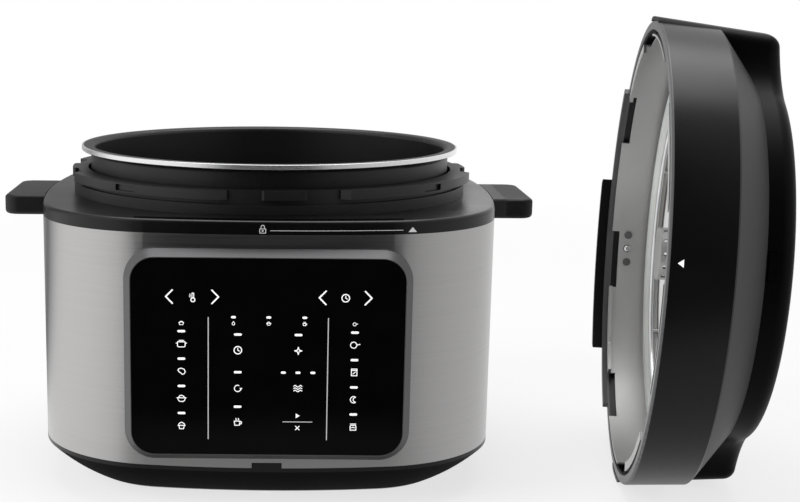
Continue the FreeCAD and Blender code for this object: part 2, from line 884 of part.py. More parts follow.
def lid_crown():
    via, end, top = crown_section(0.0)
    envelope = turned([(0.0, 0.0), (lid_r + ear_t, 0.0), end, (via, top)])
    corner = [e for e in envelope.Edges if abs(e.BoundBox.ZMax - end[1]) < 1e-6 and e.BoundBox.ZLength < 1e-6]
    envelope = envelope.makeFillet(crown_corner_r, corner)
    plan = joined(disc(cover_r, 0, crown_h), box(-2 * lid_r, 2 * lid_r, -arm_half, arm_half, 0, crown_h))
    crotch_x = math.sqrt(cover_r**2 - arm_half**2)
    crotches = [e for e in upright_edges(plan, cover_r) if abs(abs(e.BoundBox.XMax) - crotch_x) < fit]
    plan = plan.makeFillet(arm_fillet_r, crotches)
    crown = envelope.common(plan)
    brim = [e for e in crown.Edges if e.BoundBox.ZMin > cover_h and on_brim(e)]
    crown = crown.makeFillet(crown_edge_r, brim).cut(lid_form())
    crown.rotate(Vector(), UP, arm_turn_angle)
    via, end, top = crown_section(crown_wall)
    hollow = turned([(0.0, band_h), (end[0], band_h), end, (via, top)])
    hollow = hollow.common(disc(cover_r - 2 * crown_wall, 0, crown_h))
    well = disc(vent_r + crown_wall, cover_h, crown_h, 0, valve_y)
    crown = crown.cut(hollow.cut(well))
    crown = crown.cut(disc(vent_r, 0, crown_h + beyond, 0, valve_y))
    gap = button_form(fit).fuse(rod(button_spring_r, rod_start(), Vector(0, 0, rod_z)))
    slot = rod(rod_r + fit, rod_start(), Vector(0, valve_y, rod_z))
    return crown.cut([gap, slot])


def on_brim(edge):
    """True for the edges between the crown's top and its front and back walls."""
    middle = edge.valueAt((edge.FirstParameter + edge.LastParameter) / 2)
    reach = math.hypot(middle.x, middle.y)
    low = edge.BoundBox.ZLength < crown_h - cover_h
    return low and abs(middle.y) > arm_half - beyond and reach < crown_end_r


def rod_start():
    return Vector(0, -cover_r - button_proud + button_t, rod_z)


def button_form(gap):
    y = rod_start().y
    width, height = button_width + 2 * gap, button_height + 2 * gap
    return slab(width, height, button_height / 3, rod_z, y - button_t - gap, y + button_travel)


def release_button():
    y = rod_start().y
    face = slab(button_width, button_height, button_height / 3, rod_z, y - button_t, y)
    tip = valve_front_y - rod_end_gap
    shaft = rod(rod_r, Vector(0, y - button_t / 2, rod_z), Vector(0, tip - rod_tip_length, rod_z))
    cone = Part.makeCone(rod_r, rod_tip_r, rod_tip_length, Vector(0, tip - rod_tip_length, rod_z), BACK)
    return joined(face, shaft, cone)


def button_spring():
    wire_r = button_spring_wire_r
    spring = coil(button_spring_r - wire_r - fit, wire_r, button_spring_turns, guide_y - rod_start().y)
    spring.rotate(Vector(), Vector(1, 0, 0), -90)
    spring.translate(rod_start())
    return spring


def steam_valve():
    grip = valve_top - valve_knob_t
    bore_r = pipe_r + fit
    valve = turned([
        (bore_r, valve_flange_z),
        (valve_flange_r, valve_flange_z),
        (valve_flange_r, valve_flange_z + valve_flange_t),
        (valve_body_r, valve_flange_z + valve_flange_t),
        (valve_body_r, grip),
        (valve_knob_r, grip),
        (valve_knob_r, valve_top - valve_edge),
        (valve_knob_r - valve_edge, valve_top),
        (0.0, valve_top),
        (0.0, pipe_top + fit),
        (bore_r, pipe_top + fit),
    ])
    valve.translate(BACK * valve_y)
    return valve


def exhaust_pipe():
    low = plate_level + plate_dish - pipe_drop
    collar = plate_level + plate_dish + sheet_t
    pipe = turned([
        (pipe_bore_r, low),
        (pipe_r, low),
        (pipe_r, collar),
        (pipe_r + pipe_collar, collar),
        (pipe_r + pipe_collar, collar + pipe_collar),
        (pipe_r, collar + pipe_collar),
        (pipe_r, pipe_top - pipe_taper),
        (pipe_r - pipe_taper, pipe_top),
        (pipe_bore_r, pipe_top),
    ])
    pipe.translate(BACK * valve_y)
    return pipe


def exhaust_nut():
    high = plate_level + plate_dish
    corners = [Vector(x, y + valve_y, high - nut_t) for x, y in ring_of(6, nut_size)]
    nut = Part.Face(Part.makePolygon(corners + corners[:1])).extrude(UP * nut_t)
    return nut.cut(disc(pipe_r, 0, high + beyond, 0, valve_y))


def debris_shield():
    high = plate_level + plate_dish
    low = high - shield_h
    cap = turned([
        (0.0, low),
        (shield_r, low),
        (shield_r, high),
        (shield_r - shield_t, high),
        (shield_r - shield_t, low + shield_t),
        (0.0, low + shield_t),
    ])
    for i in range(shield_slots):
        cut = box(shield_r - 2 * shield_t, shield_r + beyond, -shield_slot_width / 2, shield_slot_width / 2,
                  low + 2 * shield_t, high - 3 * shield_t)
        cut.rotate(Vector(), UP, 360.0 * i / shield_slots)
        cap = cap.cut(cut)
    cap.translate(BACK * valve_y)
    return cap


def lid_locking_ring():
    ring_form = turned([
        (ring_inner_r, 0.0),
        (ring_outer_r, 0.0),
        (ring_outer_r, ring_top),
        (screw_pitch_r - 2 * screw_head_r, ring_top),
        (screw_pitch_r - 2 * screw_head_r, flange_z),
        (ring_inner_r, flange_z),
    ])
    tabs, notches = [], []
    for i in range(lug_count):
        middle = tab_turn + i * lug_pitch
        tabs.append(sector(ring_outer_r, tab_inner_r, 0.0, tab_t, middle, tab_width_angle))
        for side in (-1, 1):
            place = middle + side * (tab_width_angle + notch_angle) / 2
            notches.append(sector(lid_r, ring_inner_r - beyond, -beyond, notch_h, place, notch_angle))
    holes = [disc(screw_r + tight, 0, band_h, x, y) for x, y in lid_screw_places()]
    return joined(ring_form, *tabs).cut(notches + holes + back_holes())


def lid_plate():
    dish_z = plate_level + plate_dish
    rim_r = seal_inner_r + seal_width + fit + sheet_t
    foot_r = plate_dish_r + plate_dish_slope
    plate = turned([
        (0.0, dish_z),
        (plate_dish_r, dish_z),
        (foot_r, plate_level),
        (rim_r, plate_level),
        (rim_r, plate_level - plate_rim_drop),
        (rim_r + sheet_t, plate_level - plate_rim_drop),
        (rim_r + sheet_t, plate_level),
        (ring_inner_r - fit, plate_level),
        (ring_inner_r - fit, flange_z),
        (foot_r - sheet_t / 2, flange_z),
        (plate_dish_r - sheet_t / 2, dish_z + sheet_t),
        (0.0, dish_z + sheet_t),
    ])
    guide = disc(float_guide_r, dish_z, dish_z + sheet_t + float_guide_h, float_x, float_y)
    holes = [disc(screw_r + tight, 0, band_h, x, y) for x, y in lid_screw_places()]
    holes.append(disc(pipe_r, 0, band_h, 0, valve_y))
    holes.append(disc(float_pin_r + fit, 0, cover_h, float_x, float_y))
    return joined(plate, guide).cut(holes)


def sealing_ring():
    outer_r = seal_inner_r + seal_width
    groove = seal_h / 2
    return turned([
        (seal_inner_r, seal_z + seal_lip_t),
        (seal_inner_r + seal_lip_t, seal_z),
        (outer_r - seal_lip_t, seal_z),
        (outer_r, seal_z + seal_lip_t),
        (outer_r, seal_z + 2 * seal_lip_t),
        (outer_r - groove, seal_z + 2 * seal_lip_t),
        (outer_r - groove, seal_top - seal_lip_t),
        (outer_r, seal_top - seal_lip_t),
        (outer_r, seal_top),
        (seal_inner_r, seal_top),
    ])


def seal_rack():
    wire_ring_r = seal_inner_r - fit - rack_wire_r
    z = (seal_z + seal_top) / 2
    hoop = Part.makeTorus(wire_ring_r, rack_wire_r, Vector(0, 0, z))
    posts = [disc(rack_post_r, z, plate_level, x, y) for x, y in ring_of(rack_post_count, wire_ring_r)]
    return joined(hoop, *posts)


def lid_screws():
    screws = []
    for x, y in lid_screw_places():
        head = disc(screw_head_r, plate_level - screw_head_h, plate_level, x, y)
        screws.append(joined(head, disc(screw_r, plate_level, band_h - shoulder_t, x, y)))
    return Part.makeCompound(screws)


def float_valve():
    guide_top = plate_level + plate_dish + sheet_t + float_guide_h
    low = plate_level + plate_dish - float_drop - float_flange_t
    pin = disc(float_pin_r, low, guide_top, float_x, float_y)
    flange = disc(float_flange_r, low, low + float_flange_t, float_x, float_y)
    head = disc(float_head_r, guide_top, guide_top + float_head_h, float_x, float_y)
    return joined(pin, flange, head)


def float_seal():
    low = plate_level + plate_dish - float_drop
    washer = disc(float_seal_r, low, low + float_seal_t, float_x, float_y)
    return washer.cut(disc(float_pin_r, 0, cover_h, float_x, float_y))


def interlock_housing():
    middle = 90.0 - latch_turn_angle
    block = sector(latch_r, band_top_r, -latch_drop, latch_rise, middle, 2 * latch_half_angle)
    block = block.makeChamfer(latch_chamfer, upright_edges(block, latch_r))
    block = block.cut([lid_form(), disc(lid_r, -latch_drop, 0)])
    for side in (-1, 1):
        x = side * latch_seam_half - latch_seam / 2
        block = block.cut(box(x, x + latch_seam, latch_r - latch_seam, latch_r, -latch_drop, latch_rise))
    return block.cut(back_holes())


def interlock_pin():
    tip_y = ring_inner_r - pin_tip
    end_y = latch_r - latch_wall - pin_travel - fit
    pin = rod(pin_r, Vector(0, tip_y, pin_z), Vector(0, end_y, pin_z))
    front = [e for e in pin.Edges if e.BoundBox.YMax < tip_y + 1e-6]
    return pin.makeFillet(pin_r / 2, front)


def pin_screws():
    screws = []
    head_y = math.sqrt(ring_inner_r**2 - (pin_screw_offset + pin_screw_head_r) ** 2)
    shank = BACK * (latch_r - latch_wall - head_y - fit)
    for side in (-1, 1):
        place = Vector(side * pin_screw_offset, head_y, pin_z)
        head = rod(pin_screw_head_r, place - BACK * screw_head_h, place)
        screws.append(joined(head, rod(pin_screw_r, place, place + shank)))
    return Part.makeCompound(screws)


def lid_place():
    """The lid stands on one ear, its underside towards the body and its front forwards."""
    upright = FreeCAD.Rotation(UP, -arm_turn_angle)
    tilt = FreeCAD.Rotation(BACK, 90 + lid_lean_angle)
    yaw = FreeCAD.Rotation(UP, -lid_yaw_angle)
    stand_z = (lid_r + ear_t) * math.cos(math.radians(lid_lean_angle))
    centre = Vector(body_half + handle_reach + lid_gap, -lid_forward, stand_z)
    return FreeCAD.Placement(centre, yaw.multiply(tilt).multiply(upright))


def base_pieces():
    return {
        "base_housing": base_housing(),
        "rubber_feet": rubber_feet(),
        "base_screws": base_screws(),
        "outer_shell": outer_shell(),
        "top_plate": top_plate(),
        "left_handle": handle(-1),
        "right_handle": handle(1),
        "locking_ring": locking_ring(),
        "outer_pot": outer_pot(),
        "heating_plate": heating_plate(),
        "heating_element": heating_element(),
        "sensor_bracket": sensor_bracket(),
        "temperature_sensor": temperature_sensor(),
        "sensor_spring": sensor_spring(),
        "inner_pot": inner_pot(),
        "panel_bezel": panel_bezel(),
        "panel_glass": panel_glass(),
        "control_board": control_board(),
        "display_module": display_module(),
        "power_board": power_board(),
        "power_relay": supply_box(relay_size, -supply_width / 4),
        "board_transformer": supply_box(transformer_size, supply_width / 4),
        "power_inlet": power_inlet(),
        "inlet_pins": Part.makeCompound(list(inlet_pin_forms())),
    }


def lid_pieces():
    return {
        "lid_skirt": lid_skirt(),
        "lid_top_cover": lid_top_cover(),
        "lid_crown": lid_crown(),
        "lid_locking_ring": lid_locking_ring(),
        "lid_plate": lid_plate(),
        "sealing_ring": sealing_ring(),
        "seal_rack": seal_rack(),
        "lid_screws": lid_screws(),
        "exhaust_pipe": exhaust_pipe(),
        "exhaust_nut": exhaust_nut(),
        "steam_valve": steam_valve(),
        "debris_shield": debris_shield(),
        "float_valve": float_valve(),
        "float_seal": float_seal(),
        "release_button": release_button(),
        "button_spring": button_spring(),
        "interlock_housing": interlock_housing(),
        "interlock_pin": interlock_pin(),
        "pin_screws": pin_screws(),
    }


def main():
    os.makedirs("parts", exist_ok=True)
    pieces = base_pieces()
    place = lid_place()
    for name, shape in lid_pieces().items():
        shape.Placement = place.multiply(shape.Placement)
        pieces[name] = shape
    for name, shape in pieces.items():
        shape.exportStep(f"parts/{name}.step")
        print(f"{name}: {len(shape.Solids)} solids, {shape.Volume / 1000:.2f} cm3, valid {shape.isValid()}")


main()
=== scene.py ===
import json
import math

import bmesh
import bpy
from mathutils import Matrix, Vector


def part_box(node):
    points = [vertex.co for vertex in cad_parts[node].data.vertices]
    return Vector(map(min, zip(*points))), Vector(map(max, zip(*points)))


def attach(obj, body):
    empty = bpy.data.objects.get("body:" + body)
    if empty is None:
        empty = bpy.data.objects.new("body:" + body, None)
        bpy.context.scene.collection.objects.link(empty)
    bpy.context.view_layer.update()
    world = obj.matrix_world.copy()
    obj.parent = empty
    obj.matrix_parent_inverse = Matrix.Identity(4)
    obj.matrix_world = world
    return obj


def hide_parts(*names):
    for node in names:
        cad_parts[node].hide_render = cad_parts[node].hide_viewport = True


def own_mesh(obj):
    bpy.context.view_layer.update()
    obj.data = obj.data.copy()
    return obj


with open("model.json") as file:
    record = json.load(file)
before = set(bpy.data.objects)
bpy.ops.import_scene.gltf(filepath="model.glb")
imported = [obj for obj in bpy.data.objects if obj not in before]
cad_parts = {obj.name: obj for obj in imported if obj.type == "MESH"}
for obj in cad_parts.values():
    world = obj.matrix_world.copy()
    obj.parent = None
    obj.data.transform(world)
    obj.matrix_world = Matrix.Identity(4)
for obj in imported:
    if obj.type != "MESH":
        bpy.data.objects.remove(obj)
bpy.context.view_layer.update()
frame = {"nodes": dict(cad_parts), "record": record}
nodes = frame["nodes"]
joints = {joint["name"]: joint for joint in frame["record"]["behaviour"]["joints"]}

# Metres, in the frame of the solids: +X right, +Y back, +Z up
MM = 0.001

# Camera, as the photograph was taken: angles in degrees, focal length in pixels of the picture
IMAGE_WIDTH = 800
SENSOR = 36.0
CAMERA_PLACE = (0.0, -1.0, 0.307)
CAMERA_DOWN = 12.02
CAMERA_ROLL = 0.5
CAMERA_SHIFT = (0.165, 0.070)
CAMERA_REACH = 50.0
FOCAL_PIXELS = 1514.0

# Floor, the share of its shadow that shows, how far out that share fades, and the even light of the world
FLOOR_RADIUS = 6.0
FLOOR_STEPS = 96
FLOOR_COLOUR = (0.86, 0.86, 0.86, 1.0)
SHADOW_KEPT = 0.28
SHADOW_FADE = (0.45, 1.3)
AMBIENT = 0.42
WHITE = (1.0, 1.0, 1.0, 1.0)
BLACK = (0.0, 0.0, 0.0, 1.0)

# Lamps: name, place, width and height, watts, and whether mirrors see them
LAMP_TARGET = (0.05, 0.0, 0.12)
LAMPS = (
    ("key_left", (-1.6, -0.9, 1.1), (1.0, 1.2), 26.0, False),
    ("fill_right", (1.5, -1.0, 0.9), (0.9, 1.2), 9.0, False),
    ("overhead", (0.1, 0.4, 1.7), (1.6, 1.2), 16.0, True),
)

# Studio tent: radius and height along its wall, and its grey by degrees round from the front
TENT_STEPS = 96
TENT_PROFILE = ((0.165, 0.004), (2.2, 0.004), (2.4, 0.2), (2.4, 2.4), (0.6, 3.0))
TENT_GREYS = (
    (-180, 0.40), (-150, 0.45), (-133, 0.12), (-122, 0.50), (-106, 0.95), (-90, 1.00), (-70, 0.98),
    (-53, 0.90), (-40, 0.76), (-24, 0.02), (24, 0.02), (36, 0.42), (49, 0.50), (64, 0.56), (82, 0.62),
    (103, 0.68), (124, 0.80), (150, 0.80), (180, 0.40),
)

# The tent is at least this grey near its middle, and fades to its own grey between two distances
NEAR_GREY = 0.42
NEAR_FADE = (0.30, 0.38)

# Dark disc under the base, inside the tent's lower edge: a painted shadow under the object, which only
# mirrors see
UNDER_STEPS = 48
UNDER_SHADOW_COLOUR = (0.05, 0.05, 0.05, 1.0)

# Reflector between the base and the lid: its place, its ends and top, and its greys between two depths
REFLECTOR_X = 0.152
REFLECTOR_Y = (-0.25, 0.16)
REFLECTOR_TOP = 0.33
REFLECTOR_GREYS = (0.38, 1.00)
REFLECTOR_RISE = (-0.24, 0.05)

# Textures: noise cells per metre, contrasts, colours and depths of relief
FLOW_CELLS = 14.0
GRAIN_CELLS = 2600.0
GRAIN_DEPTH = 0.06 * MM
BRUSH_CELLS_ALONG = 9.0
BRUSH_CELLS_UP = 5200.0
STREAK_CELLS_UP = 900.0
BRUSH_SHARES = (0.75, 0.25)
BRUSH_CONTRAST = (0.35, 0.65)
BRUSH_DEPTH = 0.04 * MM
SHEET_CELLS = 9.0
SHEET_HAIR_CELLS = 2400.0
SHEET_DEPTH = 0.03 * MM
HANDLED_CELLS = 60.0
TURNED_CELLS = 900.0
TURNED_DEPTH = 0.04 * MM
SPECKLE_CELLS = 1700.0
SPECKLE_CONTRAST = (0.62, 0.75)
SPECKLE_DEPTH = 0.05 * MM
HAZE_CELLS = 40.0
HAZE_COLOURS = ((0.0011, 0.0011, 0.0012), (0.0018, 0.0018, 0.0019))
FILM_CELLS = 1500.0
TRACK_CELLS = 260.0
LACQUER_CELLS = 200.0

# Bare lip of the pot: its width and depth, the blend at its edge, and the colours of coat and lip
LIP_WIDTH = 1.3 * MM
LIP_DEPTH = 3.2 * MM
LIP_BLEND = 0.2 * MM
COAT_COLOUR = (0.004, 0.004, 0.0045)
SPECKLE_COLOUR = (0.022, 0.022, 0.024)
LIP_COLOUR = (0.86, 0.86, 0.87)

# Rim of the lid, which catches the light: a painted highlight, a lighter grey up to this depth with a soft
# edge
RIM_DEPTH = 1.2 * MM
RIM_BLEND = 0.3 * MM
RIM_HIGHLIGHT_COLOUR = (0.090, 0.090, 0.093)

# Nodes with a finish of their own
OWN_FINISH = {
    "lid_skirt": "rim_highlit_black", "pin_screws": "rivet_steel", "interlock_housing": "matt_black",
    "locking_ring": "collar_black", "left_handle": "satin_black", "right_handle": "satin_black",
}

# Springs, with the body that holds each and the joint that presses it
SPRINGS = (("sensor_spring", "base", "sensor_press"), ("button_spring", "lid", "button_press"))

# Print: its thickness, the part of that which is sunk in, and the steps of round ends and rings
INK_T = 0.12 * MM
INK_SINK = 0.04 * MM
END_STEPS = 4
RING_STEPS = 24
SMALL_RING_STEPS = 8

# From here on in millimetres. Sizes of the surfaces that carry print
FRONT_BOW_R = 480.0
LID_R = 143.0
LID_TAPER = 2.7 / 34.5
LID_EDGE = 1.5

# Panel arrows: place across and the way each points, then their height, half width and half height
ARROWS = ((-56.8, 1), (-30.3, -1), (31.3, 1), (57.6, -1))
ARROW_UP = 35.7
ARROW_HALF = (1.9, 3.9)
ARROW_LINE = 0.85

# Panel bars: length, then places across and up. The outer columns have rows of even pitch
SIDE_BAR_TOP = 15.4
SIDE_BAR_PITCH = 16.3
SIDE_BAR_ROWS = 4
SIDE_BARS = tuple(
    (x, SIDE_BAR_TOP - SIDE_BAR_PITCH * row) for x in (-49.8, 50.2) for row in range(SIDE_BAR_ROWS)
)
BARS = (
    (4.6, SIDE_BARS + ((-17.2, 13.7), (-17.2, -8.7), (-17.2, -29.4), (17.7, 13.7))),
    (3.0, ((9.2, -8.7), (17.7, -8.7), (26.3, -8.7))),
    (2.9, ((-19.8, 23.9), (0.5, 23.9), (21.2, 23.9))),
)
BAR_LINE = 1.4

# Thin rules on the panel: both ends and the width
RULES = (
    ((-34.3, 23.6), (-34.3, -49.0), 0.55),
    ((34.8, 23.6), (34.8, -49.0), 0.55),
    ((9.2, -38.3), (26.2, -38.3), 0.45),
)

# Panel symbols: place across and up, and name
KEY_SYMBOLS = (
    (-43.6, 35.4, "thermometer"), (-43.6, 35.4, "ticks"), (44.5, 35.6, "clock"),
    (-49.8, 8.2, "pot"), (-49.8, -8.4, "bean"), (-49.8, -24.6, "bowl"), (-49.8, -41.0, "cake"),
    (-17.2, 4.4, "clock"), (-17.2, -18.4, "again"), (-17.2, -38.6, "cup"),
    (17.7, 4.3, "star"), (17.7, -18.2, "waves"), (17.7, -34.6, "start"), (17.7, -42.0, "cross"),
    (50.2, 8.0, "pan"), (50.2, -8.2, "bag"), (50.2, -24.6, "moon"), (50.2, -41.0, "jar"),
)
STATUS_SYMBOLS = (
    (-49.8, 20.3, "pot"), (-19.8, 20.3, "flame"), (0.5, 20.3, "bowl"), (21.2, 20.3, "cup"),
    (50.2, 20.3, "pan"),
)
STATUS_SCALE = 0.5

# Lines of the symbols about their own middle, and their widths
SYMBOL_LINES = {
    "thermometer": (((0.0, -0.6), (0.0, 2.4), (1.0, 2.4), (1.0, -0.6)),),
    "ticks": tuple(((-1.4, up), (-0.9, up)) for up in (0.2, 1.0, 1.8)),
    "clock": (((0.0, 1.2), (0.0, 0.0), (0.9, -0.5)),),
    "pot": (
        ((-2.2, 0.9), (-2.2, -1.6), (-1.6, -2.1), (1.6, -2.1), (2.2, -1.6), (2.2, 0.9), (-2.2, 0.9)),
        ((-1.3, 1.7), (1.3, 1.7)), ((-3.0, 0.1), (-2.2, 0.1)), ((2.2, 0.1), (3.0, 0.1)),
    ),
    "bean": (
        ((-2.0, 0.6), (-1.4, 1.6), (0.0, 1.8), (1.6, 1.2), (2.2, -0.2), (1.6, -1.5), (0.4, -1.8),
         (-0.3, -1.0), (-1.2, -0.5), (-2.0, 0.6)),
    ),
    "bowl": (
        ((-2.6, 0.3), (2.6, 0.3)),
        ((-2.3, 0.3), (-1.7, -1.3), (-0.9, -1.9), (0.9, -1.9), (1.7, -1.3), (2.3, 0.3)),
        ((-1.8, 0.4), (-1.1, 1.4), (0.0, 1.8), (1.1, 1.4), (1.8, 0.4)),
    ),
    "cake": (
        ((-1.6, 0.0), (-1.1, -2.0), (1.1, -2.0), (1.6, 0.0)), ((-2.1, 0.0), (2.1, 0.0)),
        ((-1.8, 0.0), (-1.5, 1.1), (-0.5, 1.8), (0.5, 1.8), (1.5, 1.1), (1.8, 0.0)),
    ),
    "cup": (
        ((-1.9, 0.5), (-1.6, -2.0), (1.1, -2.0), (1.4, 0.5), (-1.9, 0.5)),
        ((1.4, 0.1), (2.3, 0.0), (2.2, -1.1), (1.3, -1.3)),
        ((-1.0, 1.1), (-0.7, 1.6), (-1.0, 2.1)), ((0.4, 1.1), (0.7, 1.6), (0.4, 2.1)),
    ),
    "star": (
        ((0.0, 2.1), (0.5, 0.5), (2.1, 0.0), (0.5, -0.5), (0.0, -2.1), (-0.5, -0.5), (-2.1, 0.0),
         (-0.5, 0.5), (0.0, 2.1)),
    ),
    "waves": tuple(
        ((-2.4, up), (-1.6, up + 0.5), (-0.8, up), (0.0, up - 0.5), (0.8, up), (1.6, up + 0.5), (2.4, up))
        for up in (1.4, 0.0, -1.4)
    ),
    "bag": (
        ((-1.6, 2.0), (-1.6, -2.0), (1.6, -2.0), (1.6, 2.0), (-1.6, 2.0)), ((-1.6, 1.2), (1.6, 1.2)),
        ((-0.7, -1.0), (0.7, 0.3)),
    ),
    "jar": (
        ((-1.4, 0.9), (-1.7, 0.2), (-1.7, -2.0), (1.7, -2.0), (1.7, 0.2), (1.4, 0.9), (-1.4, 0.9)),
        ((-1.6, 1.7), (1.6, 1.7)), ((-0.9, -0.6), (0.0, -0.2), (0.9, -0.6)),
    ),
    "flame": (((0.0, 2.1), (-1.5, -0.2), (-1.2, -1.6), (0.0, -2.1), (1.2, -1.6), (1.5, -0.2), (0.0, 2.1)),),
    "cross": (((-1.1, -1.1), (1.1, 1.1)), ((-1.1, 1.1), (1.1, -1.1))),
    "pan": (((1.2, 0.0), (3.0, 0.5)),),
}
SYMBOL_LINE = 0.5
FINE_LINES = {"thermometer": 0.45, "ticks": 0.4}

# Rings of the symbols: middle, radius, width, and the degrees where each starts and ends
SYMBOL_RINGS = {
    "thermometer": ((0.5, -1.5, 1.15, 0.6, 0.0, 360.0),),
    "clock": ((0.0, 0.0, 2.2, 0.6, 0.0, 360.0),),
    "pan": ((-0.6, 0.0, 1.8, SYMBOL_LINE, 0.0, 360.0),),
    "again": ((0.0, 0.0, 1.9, SYMBOL_LINE, 60.0, 350.0),),
    "moon": ((0.0, 0.0, 1.9, SYMBOL_LINE, 50.0, 310.0), (1.2, 0.0, 1.46, SYMBOL_LINE, 91.0, 269.0)),
}

# Filled outlines of the symbols
SYMBOL_FILLS = {
    "again": (((2.7, 0.3), (1.1, 0.3), (1.9, -1.1)),),
    "start": (((-1.0, -1.4), (1.4, 0.0), (-1.0, 1.4)),),
}

# Padlock on the top plate
PADLOCK_PLACE = (-3.4, 2.3)
PADLOCK_HALF = (1.7, 1.2)
PADLOCK_LINE = 0.4
SHACKLE_R = 1.0
SHACKLE_RISE = 1.1
KEYHOLE_R = 0.35

# Line from the padlock, bent in steps to follow the plate, and the triangle at its end
GUIDE_START = 1.0
GUIDE_STEP = 9.55
GUIDE_STEPS = 8
GUIDE_UP = 2.5
GUIDE_LINE = 0.28
PLATE_TRIANGLE = ((80.5, 1.3), (85.5, 1.3), (83.0, 4.2))

# Triangle on the lid, across and up from its rim
LID_TRIANGLE = ((-2.2, 8.6), (0.0, 5.4), (2.2, 8.6))


class Nodes:
    """Short calls for building a material's node tree."""

    def __init__(self, name):
        self.material = bpy.data.materials.new(name)
        self.material.use_nodes = True
        self.tree = self.material.node_tree
        self.shader = self.tree.nodes["Principled BSDF"]

    def add(self, kind, inputs=None, **settings):
        """A new node, with a socket linked or a value set on each input named."""
        node = self.tree.nodes.new(kind)
        for key, value in settings.items():
            setattr(node, key, value)
        for key, value in (inputs or {}).items():
            if isinstance(value, bpy.types.NodeSocket):
                self.tree.links.new(value, node.inputs[key])
            else:
                node.inputs[key].default_value = value
        return node

    def link(self, socket, key):
        self.tree.links.new(socket, self.shader.inputs[key])

    def set(self, **values):
        for key, value in values.items():
            self.shader.inputs[key.replace("_", " ")].default_value = value

    def place(self, scale=(1.0, 1.0, 1.0)):
        """Object coordinates in metres, stretched by scale."""
        coordinates = self.add("ShaderNodeTexCoord").outputs["Object"]
        return self.add("ShaderNodeMapping", {"Vector": coordinates, "Scale": scale}).outputs[0]

    def distance(self):
        """Metres from the middle of the frame."""
        return self.add("ShaderNodeVectorMath", {0: self.place()}, operation="LENGTH").outputs["Value"]

    def noise(self, scale, stretch=(1.0, 1.0, 1.0), detail=3.0, roughness=0.55):
        values = {"Vector": self.place(stretch), "Scale": scale, "Detail": detail, "Roughness": roughness}
        return self.add("ShaderNodeTexNoise", values).outputs["Fac"]

    def between(self, value, low, high, start=0.3, end=0.7):
        """value from start to end becomes a number from low to high."""
        values = {"Value": value, "From Min": start, "From Max": end, "To Min": low, "To Max": high}
        return self.add("ShaderNodeMapRange", values).outputs["Result"]

    def blend(self, factor, first, second):
        """The colour first where factor is 0, and second where it is 1."""
        colours = [c if isinstance(c, bpy.types.NodeSocket) else (*c, 1.0) for c in (first, second)]
        values = {0: factor, 6: colours[0], 7: colours[1]}
        return self.add("ShaderNodeMix", values, data_type="RGBA").outputs[2]

    def mottle(self, value, colour, darkest, lightest, start=0.3, end=0.7):
        """colour times darkest to colour times lightest, as value goes from start to end."""
        factor = self.between(value, 0.0, 1.0, start, end)
        return self.blend(factor, shade(colour, darkest), shade(colour, lightest))

    def math(self, operation, first, second):
        return self.add("ShaderNodeMath", {0: first, 1: second}, operation=operation).outputs[0]

    def bump(self, height, strength, depth):
        values = {"Height": height, "Strength": strength, "Distance": depth}
        self.link(self.add("ShaderNodeBump", values).outputs["Normal"], "Normal")


def shade(colour, factor):
    return tuple(min(1.0, channel * factor) for channel in colour)


def moulded(name, colour, roughness, grain=0.25, rim=None, **sockets):
    """Moulded plastic or rubber: fine grain, slight flow marks and an uneven sheen, with a painted highlight
    on the lid's rim where rim is given.
    """
    m = Nodes(name)
    flow = m.noise(FLOW_CELLS)
    tint = m.mottle(flow, colour, 0.9, 1.12)
    # Painted highlight: the lid's rim turns a lighter grey, for the light it catches.
    if rim:
        tint = m.blend(rim(m), tint, RIM_HIGHLIGHT_COLOUR)
    m.link(tint, "Base Color")
    m.link(m.between(flow, roughness - 0.04, roughness + 0.05), "Roughness")
    m.bump(m.noise(GRAIN_CELLS, detail=2.0), grain, GRAIN_DEPTH)
    m.set(**sockets)
    return m.material


def lid_axes():
    """The middle of the lid's rim, and the ways up and forward from it."""
    centre = Vector(joints["lid_twist"]["pos_m"])
    up = Vector(joints["lid_twist"]["axis"]).normalized()
    front = -Vector(joints["button_press"]["axis"]).normalized()
    return centre, up, front


def lid_rim_highlight_mask(m):
    """1 on the lid's rim, where the painted highlight goes, and 0 above it."""
    centre, up = lid_axes()[:2]
    offset = m.add("ShaderNodeVectorMath", {0: m.place(), 1: centre}, operation="SUBTRACT").outputs[0]
    height = m.add("ShaderNodeVectorMath", {0: offset, 1: up}, operation="DOT_PRODUCT").outputs["Value"]
    return m.between(height, 1.0, 0.0, RIM_DEPTH, RIM_DEPTH + RIM_BLEND)


def brushed(name, colour, roughness):
    """Steel brushed round the body: hair lines along it, so that what it mirrors is drawn out upwards."""
    m = Nodes(name)
    m.set(Metallic=1.0, Anisotropic=0.75, Anisotropic_Rotation=0.25)
    m.link(m.add("ShaderNodeTangent", direction_type="RADIAL", axis="Z").outputs["Tangent"], "Tangent")
    along = BRUSH_CELLS_ALONG
    fine = m.noise(1.0, (along, along, BRUSH_CELLS_UP), roughness=0.7)
    streak = m.noise(1.0, (along / 2, along / 2, STREAK_CELLS_UP), detail=2.0)
    shares = [m.math("MULTIPLY", value, share) for value, share in zip((fine, streak), BRUSH_SHARES)]
    grain = m.math("ADD", *shares)
    m.link(m.mottle(grain, colour, 0.93, 1.04, *BRUSH_CONTRAST), "Base Color")
    m.link(m.between(grain, roughness - 0.03, roughness + 0.05, *BRUSH_CONTRAST), "Roughness")
    m.bump(fine, 0.06, BRUSH_DEPTH)
    return m.material


def pressed(name, colour, roughness):
    """Pressed sheet with soft clouds and a fine, even grain."""
    m = Nodes(name)
    m.set(Metallic=1.0)
    hair = m.noise(SHEET_HAIR_CELLS, detail=2.0)
    m.link(m.mottle(m.noise(SHEET_CELLS, detail=2.0), colour, 0.95, 1.04), "Base Color")
    m.link(m.between(hair, roughness - 0.03, roughness + 0.04), "Roughness")
    m.bump(hair, 0.04, SHEET_DEPTH)
    return m.material


